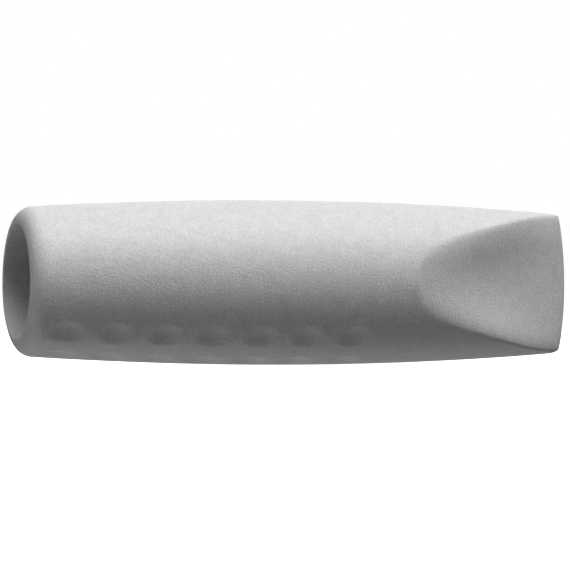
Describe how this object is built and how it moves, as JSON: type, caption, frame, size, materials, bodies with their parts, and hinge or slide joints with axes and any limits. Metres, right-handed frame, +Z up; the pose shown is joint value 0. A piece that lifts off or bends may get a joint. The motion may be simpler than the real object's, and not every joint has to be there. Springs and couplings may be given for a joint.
{
  "type": "pencil eraser topper",
  "caption": "Round crowned eraser cap with a pencil socket at one end, a chisel tip between two hollow faces at the other, and shallow dished grip dots underneath.",
  "frame": {"origin": "centre of the socket's mouth, on the cap's axis", "axes": "+X along the cap from the mouth to the chisel tip, +Z up, with the tip's flat upright and the grip dots below"},
  "size_m": [0.0423, 0.012, 0.012],
  "materials": {
    "eraser_rubber": "matte moulded eraser rubber with a fine grain",
    "dot_rubber": "matte moulded eraser rubber with a fine grain"
  },
  "bodies": {
    "root": {"eraser_cap": "eraser_rubber", "grip_dots_row_1": "dot_rubber", "grip_dots_row_2": "dot_rubber", "grip_dots_row_3": "dot_rubber", "grip_dots_row_4": "dot_rubber"}
  },
  "joints": []
}
